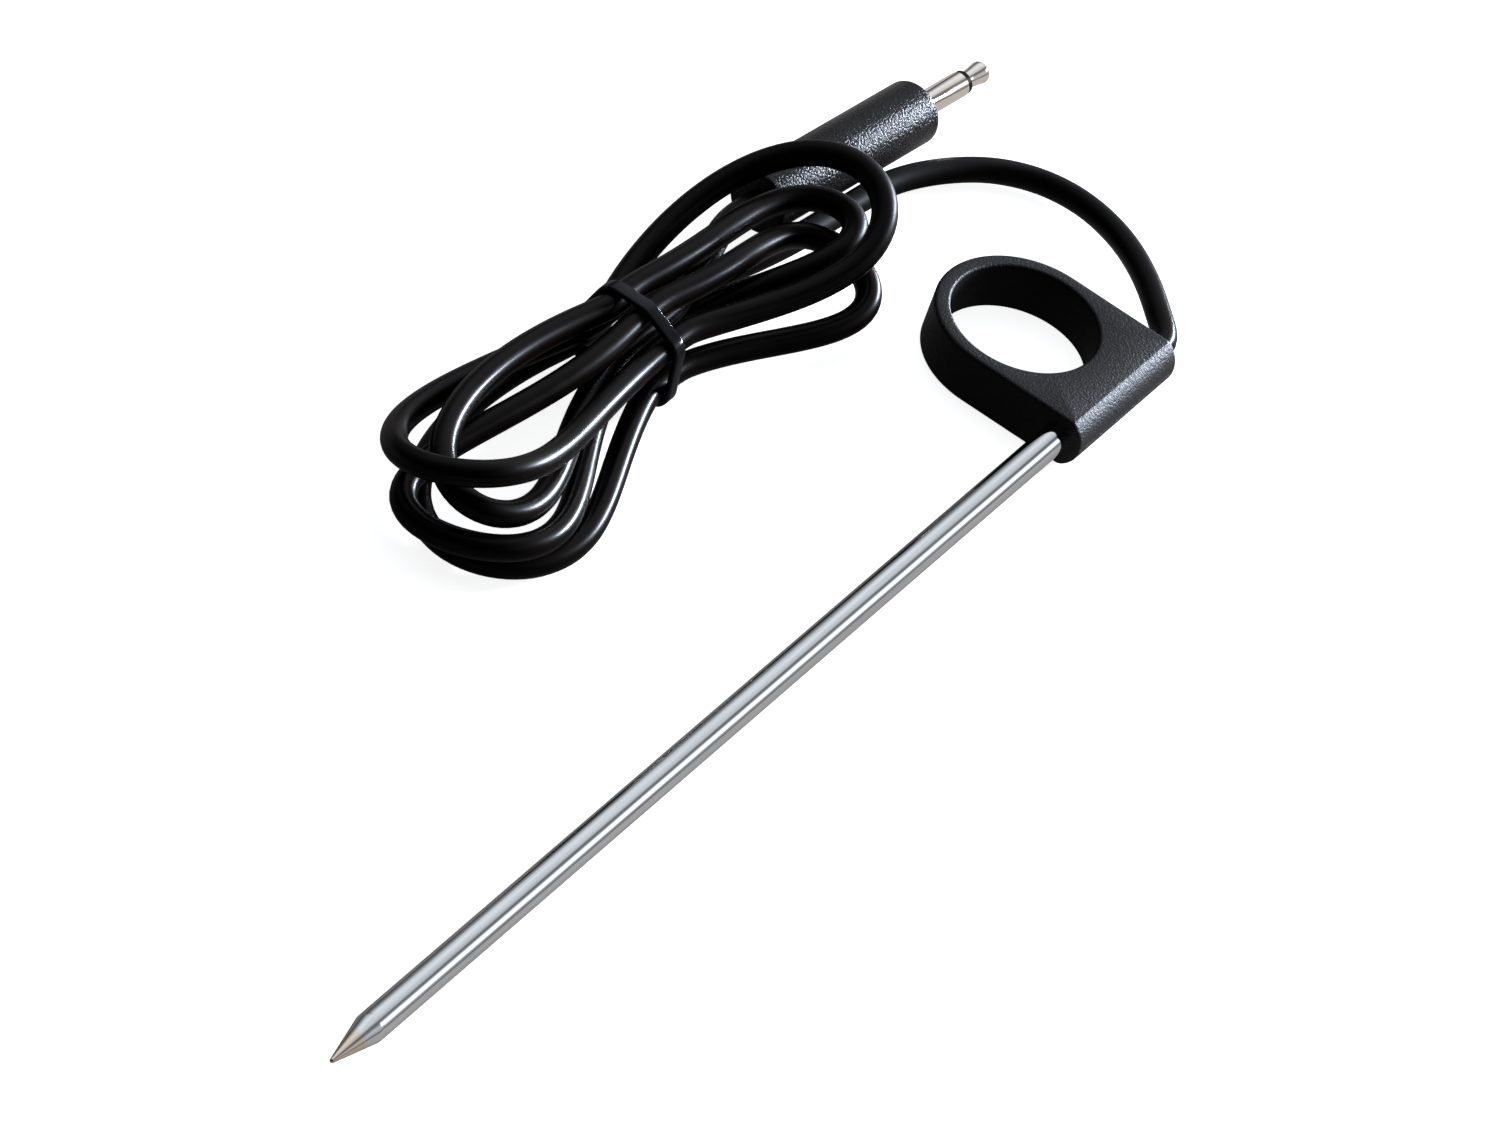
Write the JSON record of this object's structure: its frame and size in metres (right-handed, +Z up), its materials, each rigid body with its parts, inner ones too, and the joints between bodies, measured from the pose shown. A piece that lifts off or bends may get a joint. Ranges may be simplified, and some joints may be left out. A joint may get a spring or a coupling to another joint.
{
  "type": "meat thermometer",
  "caption": "Pointed steel meat probe with a flat finger-ring handle, a black cable tied in a hank and a mono jack plug.",
  "frame": {"origin": "middle of the bottom of the box round the rod and handle, as they lie flat; the cable, its band and its plug are left out of that box", "axes": "+X along the rod from the point to the handle, +Z up out of the flat handle, +Y towards the finger ring and the hank"},
  "size_m": [0.2161, 0.0619, 0.0187],
  "materials": {
    "steel": "drawn and polished",
    "nickel": "nickel plated",
    "brass": "plain",
    "wire": "plain",
    "bead_glass": "smooth",
    "paste": "matt",
    "insulation": "plain",
    "shrink": "plain",
    "core": "plain",
    "seal": "soft",
    "handle": "fine grain",
    "cable": "glossy jacket",
    "band": "glossy",
    "plug": "fine grain"
  },
  "bodies": {
    "root": {"probe_tube": "steel", "probe_point": "steel", "heat_paste": "paste", "thermistor_bead": "bead_glass", "bead_wires": "wire", "wire_sleeves": "insulation", "splice_crimps": "brass", "splice_sleeves": "shrink", "probe_cores": "core", "tube_seal": "seal", "tube_collar": "wire", "handle_lower": "handle", "handle_upper": "handle", "cable_crimp": "wire", "handle_cable_end": "cable", "cable_lead": "cable", "cable_hank": "cable", "hank_band": "band", "cable_tail": "cable", "plug_body": "plug", "plug_inner_shell": "insulation", "plug_cable_end": "cable", "jack_shank": "nickel", "jack_insulator": "shrink", "jack_tip": "nickel", "rear_insulator": "insulation", "tip_tag": "brass", "shank_tag": "brass", "plug_cores": "core", "solder_joints": "wire"}
  },
  "joints": []
}
